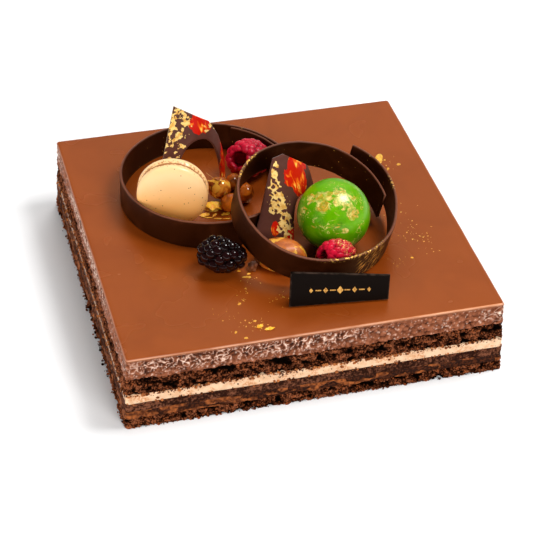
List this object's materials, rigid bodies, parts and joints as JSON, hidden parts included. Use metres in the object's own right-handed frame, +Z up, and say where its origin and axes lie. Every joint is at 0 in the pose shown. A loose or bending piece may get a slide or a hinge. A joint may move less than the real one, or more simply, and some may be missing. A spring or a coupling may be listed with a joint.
{
  "type": "chocolate square cake",
  "caption": "Square layered chocolate cake with a smooth glazed top that carries chocolate hoops, curved shards, a filled biscuit, fruit, caramel nuts, a green ball and a small plaque.",
  "frame": {"origin": "middle of the cake's flat underside", "axes": "+Z up; +X to the right along the front edge as shown; +Y from the front towards the back"},
  "size_m": [0.205, 0.2049, 0.1015],
  "materials": {
    "sponge": "very dark open cocoa crumb, matt",
    "praline": "patchy caramel-brown crunchy layer, matt with moist streaks",
    "ganache": "dense dark chocolate, matt",
    "cream": "pale tan cream with crumbs caught in it",
    "mousse": "moist mid-brown mousse with small pits and wet glints",
    "glaze": "smooth satin-gloss milk chocolate glaze",
    "tempered_chocolate": "satin dark chocolate with paler cut edges",
    "lustre_chocolate": "mauve-brown chocolate with a pale gold crackle and red sheen",
    "biscuit": "smooth eggshell almond biscuit with a slightly ragged rim",
    "biscuit_cream": "soft buttery filling",
    "green_shell": "pearly bright green chocolate shell",
    "red_fruit": "juicy crimson berry cells",
    "dark_fruit": "glossy near-black berry cells",
    "caramel_nut": "hard clear caramel over roasted hazelnut",
    "caramel": "glossy orange caramel",
    "plaque_chocolate": "near-black chocolate with a plain row of gold lozenges",
    "gold_leaf": "crumpled gold leaf"
  },
  "bodies": {
    "root": {"base_sponge": "sponge", "praline": "praline", "ganache": "ganache", "cream": "cream", "upper_sponge": "sponge", "mousse": "mousse", "glaze": "glaze", "hoop_left": "tempered_chocolate", "hoop_right": "tempered_chocolate", "shard_left": "lustre_chocolate", "shard_right": "lustre_chocolate", "macaron_shell_front": "biscuit", "macaron_shell_back": "biscuit", "macaron_filling": "biscuit_cream", "green_ball": "green_shell", "raspberry_left": "red_fruit", "raspberry_right": "red_fruit", "dark_berry": "dark_fruit", "hazelnut_front": "caramel_nut", "hazelnut_back": "caramel_nut", "hazelnut_low": "caramel_nut", "hazelnut_right": "caramel_nut", "caramel_dome": "caramel", "plaque": "plaque_chocolate"}
  },
  "joints": []
}
